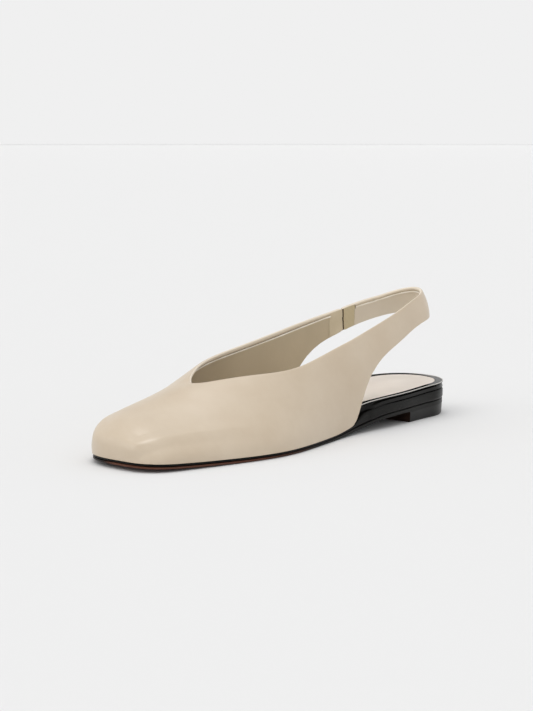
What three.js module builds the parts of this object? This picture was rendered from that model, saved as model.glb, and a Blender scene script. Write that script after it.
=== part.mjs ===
// Sling back flat, left shoe: a square-toed leather flat with a deep V throat and a sling strap.
// Millimetres, +Z up, toe towards -Y, outer side towards +X.
//
// The shoe is drawn in the last maker's terms: u runs from the back of the heel to the toe, v to
// the outer side and z up from the ground. The point (u, v, z) lies at X = v, Y = -u, Z = z.
import * as THREE from 'three';
import { mergeVertices } from 'three/addons/utils/BufferGeometryUtils.js';

// Driving sizes of the last
const LENGTH = 249.5;
const BALL_WIDTH = 80.0;
const HEEL_WIDTH = 50.2;
const CONE_HEIGHT = 82;
const TOE_SPRING = 2;

// Driving sizes of the bottom, from the ground up
const HEEL_HEIGHT = 6.0;
const OUTSOLE_HEEL = 2.3;
const OUTSOLE_FORE = 1.2;
const MIDSOLE_HEEL = 5.4;
const MIDSOLE_FORE = 0.8;
const RIM_THICKNESS = 3.3;
const FOOTBED_FORE = 2.2;
const RIM_WIDTH = 4.4;
const SOCK_THICKNESS = 1.0;
const SOCK_PROUD = 0.05;
const BREAST_AT = 50;

// How far the layers' sides stand back from the outline, and the rounding of their edges
const HEEL_INSET = 0.45;
const HEEL_TAPER = 0.3;
const HEEL_TOP_ROUNDING = 0.1;
const OUTSOLE_INSET = 0.35;
const MIDSOLE_FORE_INSET = 0.4;
const FOOTBED_TUCK = 2.8;
const EDGE_ROUNDING = 0.5;
const ROUNDED_SHARE = 0.15;

// Driving sizes of the upper
const WALL = 1.8;
const STRAP_CURL = 3;
const ELASTIC_THICKNESS = 1.0;
const ELASTIC_REACH = 11;
const ELASTIC_MARGIN = 1.5;
const SLIT_GAP = 1.0;
const SLIT_LEAN = 4.1;
const SLIT_LEAN_REACH = 25;
const SEAT_GAP = 0.3;

// Stations along the foot, as shares of LENGTH
const HEEL_ROUND_AT = 0.104;
const SLIT_AT = 0.208;
const TUCK_FROM_AT = 0.343;
const TUCK_TO_AT = 0.357;
const FEATHER_FROM_AT = 0.335;
const FEATHER_TO_AT = 0.43;
const FLAT_TO_AT = 0.66;
const THROAT_AT = 0.778;
const TOE_CAP_AT = 0.905;

// Toe: exponents of the rounded square, seen from the top and from the side
const TOE_OUTER_EXPONENT = 3.8;
const TOE_INNER_EXPONENT = 2.5;
const TOE_CREST_EXPONENT = 2.646;
const TOE_DROP_EXPONENT = 2.337;
const TOE_CORNER_SWELL = 0.14;
const TOE_FULLNESS = 0.9;
const TOE_FULLNESS_HEIGHT = 24;
const TOE_FULLNESS_REACH = 25;
const TOE_FRONT_CROWN = 0.5;
const SPRING_EXPONENT = 2.4;

// Extra fullness of the heel's curves at the very back
const BACK_CROWN = 0.26;
const BACK_SWELL = 0.305;

// Sole outline: half widths of the outer and inner side, as shares of half the named width
const OUTLINE = [
  { at: 0.104, outer: 1.028, inner: 0.987, of: HEEL_WIDTH },
  { at: 0.24, outer: 1.136, inner: 1.013, of: HEEL_WIDTH },
  { at: 0.4, outer: 0.735, inner: 0.718, of: BALL_WIDTH },
  { at: 0.56, outer: 0.922, inner: 0.854, of: BALL_WIDTH },
  { at: 0.688, outer: 1.033, inner: 0.966, of: BALL_WIDTH },
  { at: 0.8, outer: 0.924, inner: 0.884, of: BALL_WIDTH },
  { at: 0.905, outer: 0.758, inner: 0.765, of: BALL_WIDTH },
];

// Bottom lines: each column runs from 0, the forefoot's level, to 1, the level at the heel breast
const BOTTOM_LINES = [
  { at: 0, lift: 1.16, sole: 1, wedge: 1.1, seat: 1.11 },
  { at: 0.1, lift: 1.1, sole: 1, wedge: 1.07, seat: 1.07 },
  { at: 0.2, lift: 1, sole: 1, wedge: 1, seat: 1 },
  { at: 0.29, lift: 0.9, sole: 0.9, wedge: 1.03, seat: 0.96 },
  { at: 0.325, lift: 0.74, sole: 0.85, wedge: 1.07, seat: 0.93 },
  { at: 0.36, lift: 0.52, sole: 0.75, wedge: 1.02, seat: 0.9 },
  { at: 0.375, lift: 0.43, sole: 0.7, wedge: 0.94, seat: 0.86 },
  { at: 0.393, lift: 0.35, sole: 0.65, wedge: 0.5, seat: 0.79 },
  { at: 0.412, lift: 0.27, sole: 0.6, wedge: 0.12, seat: 0.7 },
  { at: 0.44, lift: 0.14, sole: 0.45, wedge: 0.02, seat: 0.55 },
  { at: 0.49, lift: 0, sole: 0.2, wedge: 0, seat: 0.32 },
  { at: 0.56, lift: 0, sole: 0, wedge: 0, seat: 0.12 },
  { at: 0.66, lift: 0, sole: 0, wedge: 0, seat: 0 },
  { at: 1, lift: 0, sole: 0, wedge: 0, seat: 0 },
];

// Crest of the last: its height as a share of CONE_HEIGHT, and its place across as a share of
// half the ball width
const CREST = [
  { at: 0.104, height: 1.033, shift: -0.103 },
  { at: 0.2, height: 1.024, shift: -0.1 },
  { at: 0.3, height: 0.948, shift: -0.128 },
  { at: 0.4, height: 0.869, shift: -0.151 },
  { at: 0.5, height: 0.756, shift: -0.159 },
  { at: 0.6, height: 0.645, shift: -0.139 },
  { at: 0.7, height: 0.525, shift: -0.102 },
  { at: 0.778, height: 0.43, shift: -0.053 },
  { at: 0.84, height: 0.37, shift: -0.118 },
  { at: 0.905, height: 0.314, shift: -0.199 },
];

// Flanks of the last, as shares of the flank's own height and reach: rise and swell place the
// curve's lower handle, crown its upper one
const OUTER_FLANK = [
  { at: 0.104, rise: 0.423, swell: -0.008, crown: 0.538 },
  { at: 0.2, rise: 0.445, swell: 0.001, crown: 0.559 },
  { at: 0.3, rise: 0.442, swell: 0.003, crown: 0.516 },
  { at: 0.4, rise: 0.436, swell: 0.005, crown: 0.474 },
  { at: 0.5, rise: 0.423, swell: 0.011, crown: 0.418 },
  { at: 0.6, rise: 0.406, swell: 0.019, crown: 0.358 },
  { at: 0.7, rise: 0.374, swell: 0.024, crown: 0.274 },
  { at: 0.778, rise: 0.353, swell: 0.025, crown: 0.242 },
  { at: 0.84, rise: 0.352, swell: 0.023, crown: 0.279 },
  { at: 0.905, rise: 0.348, swell: 0.017, crown: 0.331 },
];
const INNER_FLANK = [
  { at: 0.104, rise: 0.355, swell: -0.031, crown: 0.45 },
  { at: 0.2, rise: 0.415, swell: -0.009, crown: 0.56 },
  { at: 0.3, rise: 0.457, swell: 0.006, crown: 0.633 },
  { at: 0.4, rise: 0.481, swell: 0.015, crown: 0.648 },
  { at: 0.5, rise: 0.492, swell: 0.022, crown: 0.624 },
  { at: 0.6, rise: 0.496, swell: 0.028, crown: 0.589 },
  { at: 0.7, rise: 0.51, swell: 0.034, crown: 0.596 },
  { at: 0.778, rise: 0.521, swell: 0.038, crown: 0.611 },
  { at: 0.84, rise: 0.538, swell: 0.041, crown: 0.65 },
  { at: 0.905, rise: 0.569, swell: 0.045, crown: 0.723 },
];

// Edges of the upper as heights, shares of CONE_HEIGHT: the topline, and the lower edge of the
// quarters and the strap where they leave the sole
const TOPLINE = [
  { at: 0, outer: 0.866, inner: 0.866 },
  { at: 0.075, outer: 0.847, inner: 0.821 },
  { at: 0.152, outer: 0.788, inner: 0.789 },
  { at: 0.25, outer: 0.707, inner: 0.733 },
  { at: 0.357, outer: 0.614, inner: 0.673 },
  { at: 0.464, outer: 0.533, inner: 0.613 },
  { at: 0.57, outer: 0.478, inner: 0.561 },
  { at: 0.68, outer: 0.463, inner: 0.508 },
  { at: 0.755, outer: 0.439, inner: 0.452 },
];
const LOWER_EDGE = [
  { at: 0, outer: 0.688, inner: 0.688 },
  { at: 0.085, outer: 0.67, inner: 0.66 },
  { at: 0.164, outer: 0.614, inner: 0.62 },
  { at: 0.235, outer: 0.539, inner: 0.559 },
  { at: 0.303, outer: 0.449, inner: 0.467 },
  { at: 0.347, outer: 0.34, inner: 0.312 },
  { at: 0.362, outer: 0.286, inner: 0.227 },
  { at: 0.378, outer: 0.215, inner: 0.14 },
  { at: 0.395, outer: 0.119, inner: 0.094 },
  { at: 0.415, outer: 0.059, inner: 0.06 },
];

// Faces: mm between ribs, and quads from the sole to the crest
const RIB_SPACING = 5.6;
const CLOSE_RIB_SPACING = 2.6;
const RIB_QUADS = 10;
const HEEL_RIBS = 9;
const TOE_RIBS = 11;
const THROAT_RIBS = 6;
const THROAT_ZONE = 12;
const LAYER_STEP = 8;
const ELASTIC_RIBS = 8;

// Curves through a table's rows

function rowBelow(xs, x) {
  let i = 0;
  while (i < xs.length - 2 && x > xs[i + 1]) i++;
  return i;
}

// Natural cubic spline, for the forms of the last
function smoothCurve(xs, ys) {
  const last = xs.length - 1;
  const bends = new Array(last + 1).fill(0);
  const carry = new Array(last + 1).fill(0);
  for (let i = 1; i < last; i++) {
    const split = (xs[i] - xs[i - 1]) / (xs[i + 1] - xs[i - 1]);
    const pivot = split * bends[i - 1] + 2;
    const after = (ys[i + 1] - ys[i]) / (xs[i + 1] - xs[i]);
    const before = (ys[i] - ys[i - 1]) / (xs[i] - xs[i - 1]);
    bends[i] = (split - 1) / pivot;
    carry[i] = (6 * (after - before) / (xs[i + 1] - xs[i - 1]) - split * carry[i - 1]) / pivot;
  }
  bends[last] = 0;
  for (let i = last - 1; i > 0; i--) bends[i] = bends[i] * bends[i + 1] + carry[i];
  bends[0] = 0;
  return (at) => {
    const x = THREE.MathUtils.clamp(at, xs[0], xs[last]);
    const i = rowBelow(xs, x);
    const span = xs[i + 1] - xs[i];
    const a = (xs[i + 1] - x) / span;
    const b = (x - xs[i]) / span;
    const pull = ((a ** 3 - a) * bends[i] + (b ** 3 - b) * bends[i + 1]) * span * span / 6;
    return a * ys[i] + b * ys[i + 1] + pull;
  };
}

// Curve that never swings past its rows, for the lines of the bottom
function steadyCurve(xs, ys) {
  const last = xs.length - 1;
  const rise = xs.slice(1).map((x, i) => (ys[i + 1] - ys[i]) / (x - xs[i]));
  const slope = ys.map((_, i) => {
    if (i === 0 || i === last || rise[i - 1] * rise[i] <= 0) return 0;
    return 2 * rise[i - 1] * rise[i] / (rise[i - 1] + rise[i]);
  });
  return (at) => {
    const x = THREE.MathUtils.clamp(at, xs[0], xs[last]);
    const i = rowBelow(xs, x);
    const span = xs[i + 1] - xs[i];
    const t = (x - xs[i]) / span;
    const s = 1 - t;
    return s * s * (1 + 2 * t) * ys[i] + t * t * (3 - 2 * t) * ys[i + 1]
      + span * s * t * (s * slope[i] - t * slope[i + 1]);
  };
}

const stationsOf = (rows) => rows.map((row) => row.at * LENGTH);

function column(rows, name, curve = smoothCurve) {
  return curve(stationsOf(rows), rows.map((row) => row[name]));
}

// One curve round the back of the heel: the inner side at negative stations, the outer at positive
function roundTheHeel(rows) {
  const away = rows.slice(1);
  const xs = [...stationsOf(away).map((x) => -x).reverse(), 0, ...stationsOf(away)];
  const ys = [...away.map((row) => row.inner).reverse(), rows[0].outer, ...away.map((row) => row.outer)];
  return smoothCurve(xs, ys.map((share) => share * CONE_HEIGHT));
}

// Outline of the sole

const OUTER = 1;
const INNER = -1;
const QUARTER_TURN = Math.PI / 2;
const heelRound = HEEL_ROUND_AT * LENGTH;
const toeCap = TOE_CAP_AT * LENGTH;
const toeReach = LENGTH - toeCap;
const toeExponent = { [OUTER]: TOE_OUTER_EXPONENT, [INNER]: TOE_INNER_EXPONENT };
const throat = THROAT_AT * LENGTH;

// The first row is doubled a little way behind, so that the sides leave the heel's round straight
const DOUBLED_BY = 0.004;
function sideCurve(name) {
  const first = OUTLINE[0];
  const rows = [{ ...first, at: first.at - DOUBLED_BY }, ...OUTLINE];
  return smoothCurve(stationsOf(rows), rows.map((row) => row[name] * row.of / 2));
}
const halfWidth = { [OUTER]: sideCurve('outer'), [INNER]: sideCurve('inner') };
const rounded = (share, exponent) => Math.max(0, share) ** (2 / exponent);

function toeTaper(side) {
  return Math.min(0, halfWidth[side](toeCap) - halfWidth[side](toeCap - 1));
}

// Toe outline: the turn runs from 0 at the side to 1 at the middle of the front
function toeOutline(side, turn) {
  const angle = turn * QUARTER_TURN;
  const exponent = toeExponent[side];
  const u = toeCap + toeReach * rounded(Math.sin(angle), exponent);
  const width = halfWidth[side](toeCap) + toeTaper(side) * (u - toeCap);
  return new THREE.Vector2(u, side * width * rounded(Math.cos(angle), exponent));
}

// Outline point at a pace: 0 to 1 round the heel, 1 to 2 along the side, 2 to 3 round the toe
function outlineAt(side, pace) {
  if (pace < 1) {
    const angle = (1 - pace) * QUARTER_TURN;
    const v = side * halfWidth[side](heelRound) * Math.cos(angle);
    return new THREE.Vector2(heelRound * (1 - Math.sin(angle)), v);
  }
  if (pace > 2) return toeOutline(side, pace - 2);
  const u = THREE.MathUtils.lerp(heelRound, toeCap, pace - 1);
  return new THREE.Vector2(u, side * halfWidth[side](u));
}

const PACE_STEP = 0.002;
const FULL_PACE = 3;

function outwardAt(side, pace) {
  const ahead = outlineAt(side, Math.min(FULL_PACE, pace + PACE_STEP));
  const along = ahead.sub(outlineAt(side, Math.max(0, pace - PACE_STEP))).normalize();
  if (pace === 0 || pace === FULL_PACE) along.set(0, pace === 0 ? side : -side);
  return new THREE.Vector2(-along.y * side, along.x * side);
}

const paceAt = (u) => (u < heelRound
  ? 1 - Math.asin(1 - u / heelRound) / QUARTER_TURN
  : 1 + (u - heelRound) / (toeCap - heelRound));

// Heights along the foot

const line = {};
for (const name of ['lift', 'sole', 'wedge', 'seat']) line[name] = column(BOTTOM_LINES, name, steadyCurve);

function springAt(u) {
  return TOE_SPRING * Math.max(0, (u / LENGTH - FLAT_TO_AT) / (1 - FLAT_TO_AT)) ** SPRING_EXPONENT;
}
const outsoleBottom = (u) => springAt(u) + HEEL_HEIGHT * line.lift(u);
const outsoleTop = (u) => outsoleBottom(u) + THREE.MathUtils.lerp(OUTSOLE_FORE, OUTSOLE_HEEL, line.sole(u));
const midsoleBottom = (u) => outsoleTop(u) + SEAT_GAP;
const midsoleTop = (u) => midsoleBottom(u) + THREE.MathUtils.lerp(MIDSOLE_FORE, MIDSOLE_HEEL, line.wedge(u));

// The gap above the midsole is kept square to its slope
function featherHeight(u) {
  const slope = midsoleTop(u + 0.5) - midsoleTop(u - 0.5);
  return midsoleTop(u) + SEAT_GAP * Math.hypot(1, slope);
}
const seatFore = OUTSOLE_FORE + MIDSOLE_FORE + 2 * SEAT_GAP + FOOTBED_FORE;
const seatHeel = featherHeight(BREAST_AT) + RIM_THICKNESS;
const seatHeight = (u) => springAt(u) + THREE.MathUtils.lerp(seatFore, seatHeel, line.seat(u));
const sockTop = (u) => seatHeight(u) + SOCK_PROUD;
const sockBottom = (u) => sockTop(u) - SOCK_THICKNESS;
const tuckAt = (u) => THREE.MathUtils.smoothstep(u, TUCK_FROM_AT * LENGTH, TUCK_TO_AT * LENGTH);

// Solids

// A mesh's geometry from points (u, v, z) and triangles, welded, its faces turned outward
const WELD_DISTANCE = 1e-3;
function solid(points, triangles) {
  const positions = triangles.flat().flatMap((i) => [points[i].y, -points[i].x, points[i].z]);
  const loose = new THREE.BufferGeometry();
  loose.setAttribute('position', new THREE.Float32BufferAttribute(positions, 3));
  const welded = mergeVertices(loose, WELD_DISTANCE);
  const index = Array.from(welded.index.array);
  const faces = [];
  const corner = [new THREE.Vector3(), new THREE.Vector3(), new THREE.Vector3()];
  let volume = 0;
  for (let i = 0; i < index.length; i += 3) {
    const [a, b, c] = index.slice(i, i + 3);
    if (a === b || b === c || c === a) continue;
    faces.push([a, b, c]);
    [a, b, c].forEach((id, k) => corner[k].fromBufferAttribute(welded.attributes.position, id));
    volume += corner[0].dot(corner[1].cross(corner[2]));
  }
  welded.setIndex((volume < 0 ? faces.map((face) => face.reverse()) : faces).flat());
  welded.computeVertexNormals();
  return welded;
}

// A layer of the bottom: rings across the foot, each the layer's profile on the outer side and
// back down the inner side. profile(u) lists how far in from the outline and how high each point is.
function layer(profile, cutAt = null) {
  const paces = [];
  for (let i = 0; i <= HEEL_RIBS; i++) paces.push(i / HEEL_RIBS);
  const cuts = [heelRound, FEATHER_FROM_AT * LENGTH, FEATHER_TO_AT * LENGTH, toeCap];
  for (let k = 1; k < cuts.length; k++) {
    const steps = Math.ceil((cuts[k] - cuts[k - 1]) / (k === 2 ? CLOSE_RIB_SPACING : LAYER_STEP));
    for (let i = 1; i <= steps; i++) {
      paces.push(paceAt(THREE.MathUtils.lerp(cuts[k - 1], cuts[k], i / steps)));
    }
  }
  for (let i = 1; i <= TOE_RIBS; i++) paces.push(2 + i / TOE_RIBS);
  const kept = cutAt === null ? paces : [...paces.filter((pace) => pace < paceAt(cutAt)), paceAt(cutAt)];
  const points = [];
  const triangles = [];
  let size = 0;
  kept.forEach((pace, row) => {
    const ring = [];
    for (const side of [OUTER, INNER]) {
      const edge = outlineAt(side, pace);
      const outward = outwardAt(side, pace);
      const flat = cutAt !== null && row === kept.length - 1;
      const half = profile(edge.x).map(({ inset, level }) => {
        const spot = edge.clone().addScaledVector(outward, -inset);
        const u = flat ? cutAt : spot.x;
        return new THREE.Vector3(u, spot.y, level(u));
      });
      ring.push(...(side === OUTER ? half : half.reverse()));
    }
    size = ring.length;
    points.push(...ring);
    if (row === 0) return;
    for (let k = 0; k < size; k++) {
      const a = (row - 1) * size + k;
      const b = (row - 1) * size + (k + 1) % size;
      triangles.push([a, b, b + size], [a, b + size, a + size]);
    }
  });
  for (const row of [0, kept.length - 1]) {
    for (let k = 0; k < size / 2 - 1; k++) {
      const a = row * size + k;
      const d = row * size + size - 1 - k;
      const cap = [[a, d - 1, d], [a, a + 1, d - 1]];
      triangles.push(...(row === 0 ? cap.map((face) => face.reverse()) : cap));
    }
  }
  return solid(points, triangles);
}

// A band with rounded edges between two heights
function band(inset, bottom, top, taper = 0, topRounding = EDGE_ROUNDING) {
  const at = (share) => (u) => THREE.MathUtils.lerp(bottom(u), top(u), share);
  return [
    { inset: inset + taper + EDGE_ROUNDING, level: at(0) },
    { inset: inset + taper, level: at(ROUNDED_SHARE) },
    { inset, level: at(1 - ROUNDED_SHARE) },
    { inset: inset + topRounding, level: at(1) },
  ];
}

// Heel block: from the ground to the outsole, its front cut flat at the breast
function heelBlock() {
  const top = (u) => outsoleBottom(u) - SEAT_GAP;
  return layer(() => band(HEEL_INSET, () => 0, top, HEEL_TAPER, HEEL_TOP_ROUNDING), BREAST_AT);
}

function outsole() {
  return layer(() => band(OUTSOLE_INSET, outsoleBottom, outsoleTop));
}

function midsole() {
  return layer((u) => band(MIDSOLE_FORE_INSET * tuckAt(u), midsoleBottom, midsoleTop));
}

// Footbed: round the heel its edge shows as a welt, a groove and a bead over it, then a recess for
// the sock. Ahead of the quarters' rear edges it steps in, to lie inside the upper.
const BEAD_LIP = 0.2;
const BEAD = [
  { inset: 0.6, share: 0 },
  { inset: 0.1, share: 0.1 },
  { inset: 0.15, share: 0.4 },
  { inset: 0.8, share: 0.5 },
  { inset: 0.15, share: 0.6 },
  { inset: 0, share: 0.75 },
  { inset: 0.35, share: 0.92 },
  { inset: 1, share: 1 },
];
function footbed() {
  return layer((edge) => {
    const tuck = FOOTBED_TUCK * tuckAt(edge);
    const bead = BEAD.map(({ inset, share }) => ({
      inset: inset + tuck,
      level: (u) => THREE.MathUtils.lerp(featherHeight(u), seatHeight(u), share),
    }));
    const recess = { inset: Math.max(RIM_WIDTH, tuck + BEAD.at(-1).inset + BEAD_LIP) };
    bead.push({ ...recess, level: seatHeight }, { ...recess, level: (u) => sockBottom(u) - SEAT_GAP });
    return bead;
  });
}

function sock() {
  return layer(() => band(RIM_WIDTH + SEAT_GAP, sockBottom, sockTop));
}

// Upper: the last's surface as ribs that run from the sole up to the crest

const crest = { height: column(CREST, 'height'), shift: column(CREST, 'shift') };
const flank = {};
for (const [side, rows] of [[OUTER, OUTER_FLANK], [INNER, INNER_FLANK]]) {
  flank[side] = {};
  for (const name of ['rise', 'swell', 'crown']) flank[side][name] = column(rows, name);
}
const crestHeight = (u) => CONE_HEIGHT * crest.height(u);
const topline = roundTheHeel([
  ...TOPLINE,
  { at: THROAT_AT, outer: crest.height(throat), inner: crest.height(throat) },
]);
const lowerEdge = roundTheHeel(LOWER_EDGE);
const edgeEnd = LOWER_EDGE.at(-1).at * LENGTH;

const solePoint = (u, v) => new THREE.Vector3(u, v, featherHeight(u));

// Rib at station x. Behind the heel's round the ribs fan out about its middle.
function rib(side, x) {
  const station = Math.max(x, heelRound);
  const turn = x < heelRound ? (1 - x / heelRound) * QUARTER_TURN : 0;
  const back = Math.sin(turn) ** 2;
  const outward = new THREE.Vector3(-Math.sin(turn), side * Math.cos(turn), 0);
  const half = halfWidth[side](station);
  const height = crestHeight(station);
  const shift = crest.shift(station) * BALL_WIDTH / 2;
  const form = (name) => THREE.MathUtils.lerp(
    flank[side][name](station),
    (flank[OUTER][name](station) + flank[INNER][name](station)) / 2,
    back,
  );
  const radius = THREE.MathUtils.lerp(half, heelRound, back);
  const reach = THREE.MathUtils.lerp(half - side * shift, heelRound, back);
  const u = x < heelRound ? heelRound * (1 - Math.sin(turn)) : x;
  const foot = solePoint(u, side * half * Math.cos(turn));
  const top = new THREE.Vector3(station, shift, height);
  const low = foot.clone().addScaledVector(outward, form('swell') * radius);
  low.x -= BACK_SWELL * Math.sin(turn) * back * heelRound;
  low.z += form('rise') * (height - foot.z);
  const high = top.clone().addScaledVector(outward, form('crown') * reach * (1 + BACK_CROWN * back));
  return new THREE.CubicBezierCurve3(foot, low, high, top);
}

// Rib of the toe: sweep runs from 0 at the toe cap's line to 1 at the middle of the front, where
// the crest has come down over the front. The last ribs close onto the outline itself.
function toeRib(side, sweep) {
  const half = halfWidth[side](toeCap);
  const foot = solePoint(...toeOutline(side, sweep / 2));
  const u = toeCap + toeReach * rounded(Math.sin(sweep * QUARTER_TURN), TOE_CREST_EXPONENT);
  const fall = crestHeight(toeCap) - crestHeight(toeCap - 1);
  const drop = crestHeight(toeCap) - featherHeight(toeCap) + fall * (u - toeCap);
  const height = featherHeight(u) + drop * rounded(Math.cos(sweep * QUARTER_TURN), TOE_DROP_EXPONENT);
  const shift = crest.shift(toeCap) * BALL_WIDTH / 2 * (1 - sweep);
  const { rise, swell, crown } = flank[side];
  const corner = TOE_CORNER_SWELL * sweep ** 1.5;
  const low = new THREE.Vector3(
    foot.x + corner * toeReach,
    foot.y + side * half * (swell(toeCap) * (1 - sweep) - corner),
    foot.z + rise(toeCap) * (height - foot.z),
  );
  const top = new THREE.Vector3(u, shift, height);
  const high = top.clone();
  high.y += side * THREE.MathUtils.lerp(crown(toeCap), TOE_FRONT_CROWN, sweep) * (half - side * shift);
  return new THREE.CubicBezierCurve3(foot, low, high, top);
}

const toeFront = { [OUTER]: toeRib(OUTER, 1), [INNER]: toeRib(INNER, 1) };

// The toe's wall stands out a little over the sole, fullest a third of the way up
const FULLEST_AT = 1 / 3;
function fillToe(point) {
  const up = THREE.MathUtils.clamp((point.z - featherHeight(point.x)) / TOE_FULLNESS_HEIGHT, 0, 1);
  const ahead = THREE.MathUtils.smoothstep(point.x, toeCap - TOE_FULLNESS_REACH, toeCap);
  const outward = new THREE.Vector3(point.x - toeCap + TOE_FULLNESS_REACH / 2, point.y, 0);
  const full = TOE_FULLNESS * ahead * up * (1 - up) ** 2 / (FULLEST_AT * (1 - FULLEST_AT) ** 2);
  return point.addScaledVector(outward.normalize(), full);
}

// Point of the last's surface, t from 0 at the sole to 1 at the crest. Past the toe cap's line
// the station counts sweeps of the toe.
function surfacePoint(side, station, t) {
  const sweep = station - toeCap;
  const inToe = sweep > 0;
  const point = (inToe ? toeRib(side, sweep) : rib(side, station)).getPoint(t);
  if (inToe) {
    const front = solePoint(...toeOutline(side, (1 + t) / 2));
    point.addScaledVector(front.sub(toeFront[side].getPoint(t)), sweep ** 4);
  }
  return fillToe(point);
}

// Share of the rib at which it reaches a height, by halving
const HALVINGS = 24;
function shareAt(side, station, height) {
  let low = 0;
  let high = 1;
  for (let i = 0; i < HALVINGS; i++) {
    const middle = (low + high) / 2;
    if (rib(side, station).getPoint(middle).z < height) low = middle;
    else high = middle;
  }
  return (low + high) / 2;
}

// Ribs from the heel to the toe's front
function ribStations() {
  const stations = [];
  const run = (from, to, spacing) => {
    const steps = Math.max(1, Math.round((to - from) / spacing));
    for (let i = 1; i <= steps; i++) stations.push(THREE.MathUtils.lerp(from, to, i / steps));
  };
  for (let i = 0; i <= HEEL_RIBS; i++) stations.push(heelRound * i / HEEL_RIBS);
  const slit = SLIT_AT * LENGTH;
  run(heelRound, slit - SLIT_GAP / 2, RIB_SPACING);
  run(slit - SLIT_GAP / 2, slit + SLIT_GAP / 2, SLIT_GAP);
  run(slit + SLIT_GAP / 2, FEATHER_FROM_AT * LENGTH, RIB_SPACING);
  run(FEATHER_FROM_AT * LENGTH, FEATHER_TO_AT * LENGTH, CLOSE_RIB_SPACING);
  run(FEATHER_TO_AT * LENGTH, throat - THROAT_ZONE, RIB_SPACING);
  for (let i = 1; i <= THROAT_RIBS; i++) {
    stations.push(throat - THROAT_ZONE * (1 - i / THROAT_RIBS) ** 2);
  }
  run(throat, toeCap, RIB_SPACING);
  for (let i = 1; i <= TOE_RIBS; i++) stations.push(toeCap + i / TOE_RIBS);
  return stations;
}

// Ribs near the slit lean with it
function leanAt(side, station) {
  if (side === OUTER) return 0;
  const away = Math.abs(station - SLIT_AT * LENGTH) / SLIT_LEAN_REACH;
  return SLIT_LEAN * (1 - THREE.MathUtils.smoothstep(away, 0, 1));
}

// Round the back of the heel the strap grips: its lower edge curls in
function curlStrap(point, side, station, share) {
  const turn = Math.max(0, 1 - station / heelRound) * QUARTER_TURN;
  const inward = STRAP_CURL * Math.sin(turn) * (1 - share) ** 3;
  point.x += inward * Math.sin(turn);
  point.y -= inward * side * Math.cos(turn);
}

// Points of one rib of the upper, from its lower edge to its top edge, each pulled in by a margin
function ribPoints(side, station, margin = 0) {
  const points = [];
  const lean = leanAt(side, station) / 2;
  const foot = station - lean;
  const head = station + lean;
  let from = 0;
  let to = 1;
  if (station < throat) {
    const edge = lowerEdge(side * foot);
    const raised = foot < edgeEnd && edge + margin > featherHeight(foot);
    from = raised ? shareAt(side, foot, edge + margin) : 0;
    to = shareAt(side, head, topline(side * head) - margin);
  }
  const onFront = station >= toeCap + 1;
  for (let i = 0; i <= RIB_QUADS; i++) {
    const share = i / RIB_QUADS;
    const at = onFront ? station : THREE.MathUtils.lerp(foot, head, share);
    const point = surfacePoint(side, at, THREE.MathUtils.lerp(from, to, share));
    curlStrap(point, side, station, share);
    point.onSole = onFront || (i === 0 && from === 0);
    points.push(point);
  }
  return points;
}

// A sheet with thickness: rows of points of the last's surface, its near face a given distance
// under that surface. Rows meet where their points do; the open edges are closed by a rim.
function sheet(strips, under, thickness) {
  const points = [];
  const ids = new Map();
  const idOf = (point) => {
    const key = point.toArray().map((value) => Math.round(value / WELD_DISTANCE)).join();
    if (!ids.has(key)) ids.set(key, points.push(point) - 1);
    return ids.get(key);
  };
  const faces = [];
  for (const { side, rows } of strips) {
    const grid = rows.map((row) => row.map(idOf));
    for (let i = 1; i < grid.length; i++) {
      for (let k = 1; k < grid[i].length; k++) {
        const [a, b, c, d] = [grid[i - 1][k - 1], grid[i][k - 1], grid[i][k], grid[i - 1][k]];
        const pair = [[a, b, c], [a, c, d]].filter((face) => new Set(face).size === 3);
        faces.push(...(side === INNER ? pair : pair.map((face) => face.reverse())));
      }
    }
  }
  const normals = points.map(() => new THREE.Vector3());
  const open = new Map();
  for (const face of faces) {
    const [a, b, c] = face.map((id) => points[id]);
    const normal = b.clone().sub(a).cross(c.clone().sub(a));
    face.forEach((id, k) => {
      const next = face[(k + 1) % 3];
      normals[id].add(normal);
      if (!open.delete(`${next},${id}`)) open.set(`${id},${next}`, [id, next]);
    });
  }
  const both = [];
  for (const depth of [under, under + thickness]) {
    points.forEach((point, id) => {
      const inward = normals[id].clone();
      if (point.onSole) inward.setZ(0);
      both.push(point.clone().addScaledVector(inward.normalize(), -depth));
    });
  }
  const size = points.length;
  const triangles = [...faces];
  for (const [a, b, c] of faces) triangles.push([a + size, c + size, b + size]);
  for (const [a, b] of open.values()) triangles.push([b, a, a + size], [b, a + size, b + size]);
  return solid(both, triangles);
}

function upper() {
  const stations = ribStations();
  const slit = SLIT_AT * LENGTH;
  const strip = (side, keep) => ({
    side,
    rows: stations.filter(keep).map((station) => ribPoints(side, station)),
  });
  return sheet([
    strip(OUTER, () => true),
    strip(INNER, (station) => station < slit),
    strip(INNER, (station) => station > slit),
  ], 0, WALL);
}

// Elastic: a strip on the upper's inner face that bridges the slit in the strap
function elastic() {
  const rows = [];
  for (let i = 0; i <= ELASTIC_RIBS; i++) {
    const station = SLIT_AT * LENGTH + ELASTIC_REACH * (2 * i / ELASTIC_RIBS - 1);
    rows.push(ribPoints(INNER, station, ELASTIC_MARGIN));
  }
  return sheet([{ side: INNER, rows }], WALL + SEAT_GAP, ELASTIC_THICKNESS);
}

// The shoe, standing at the middle of its footprint

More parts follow.
